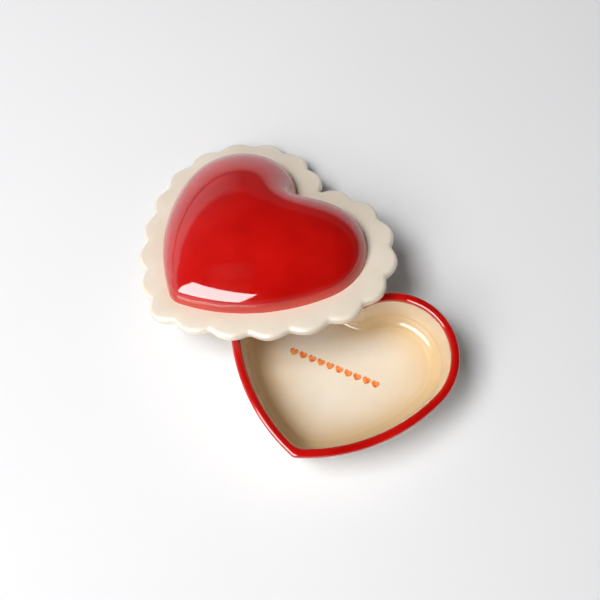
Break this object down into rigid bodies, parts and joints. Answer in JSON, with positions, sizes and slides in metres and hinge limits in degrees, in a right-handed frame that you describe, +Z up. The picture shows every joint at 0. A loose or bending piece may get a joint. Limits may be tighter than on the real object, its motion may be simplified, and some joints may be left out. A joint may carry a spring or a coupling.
{
  "type": "heart-shaped trinket box",
  "caption": "Glazed ceramic heart dish with a rounded red rim, and a loose lid: a puffed red heart on a cream scalloped flange, shown leaning on the dish.",
  "frame": {"origin": "middle of the dish's foot, on the surface it stands on", "axes": "+Y from the heart's tip to its cleft, +X to the right with the tip towards you, +Z up"},
  "size_m": [0.1813, 0.1569, 0.0577],
  "materials": {
    "cream_glaze": "glossy cream glaze, slightly pooled in the cove",
    "red_glaze": "deep red high-gloss glaze",
    "bare_clay": "unglazed fired clay",
    "orange_underglaze": "orange stamped underglaze beneath the clear glaze"
  },
  "bodies": {
    "dish": {"dish_body": "cream_glaze", "dish_rim_band": "red_glaze", "dish_foot": "bare_clay", "floor_stamps": "orange_underglaze"},
    "lid": {"lid_flange": "cream_glaze", "lid_dome": "red_glaze", "lid_locating_ring": "cream_glaze"}
  },
  "joints": [
    {"name": "lid_lift", "type": "slide", "parent": "dish", "child": "lid", "axis": [0, 0, 1], "range_m": [0, 0.08]}
  ]
}
